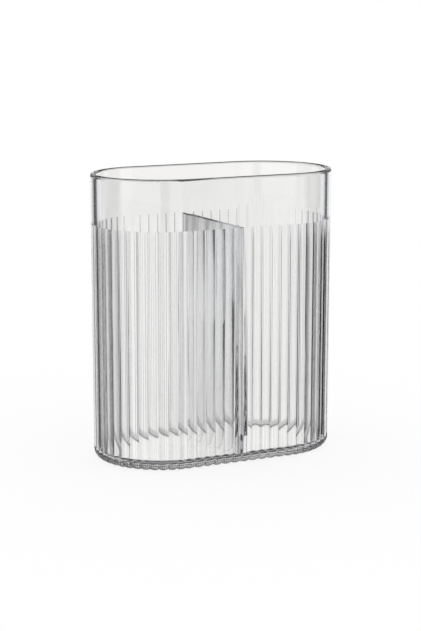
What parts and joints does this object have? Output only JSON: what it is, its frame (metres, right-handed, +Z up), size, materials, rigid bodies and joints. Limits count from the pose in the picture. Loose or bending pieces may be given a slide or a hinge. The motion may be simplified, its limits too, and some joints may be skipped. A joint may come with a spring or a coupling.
{
  "type": "toothbrush holder",
  "caption": "Clear racetrack-shaped cup with a reeded wall and beaded foot, split into two compartments by a flat lift-out divider.",
  "frame": {"origin": "on the table, under the middle of the cup", "axes": "+Z up out of the mouth, +X along the long side of the racetrack, -Y to the front"},
  "size_m": [0.1, 0.055, 0.113],
  "materials": {
    "cup_plastic": "clear, polished",
    "divider_plastic": "clear, polished"
  },
  "bodies": {
    "cup": {"cup": "cup_plastic"},
    "divider": {"divider": "divider_plastic"}
  },
  "joints": [
    {"name": "divider_lift", "type": "slide", "parent": "cup", "child": "divider", "axis": [0, 0, 1], "range_m": [0, 0.115]}
  ]
}
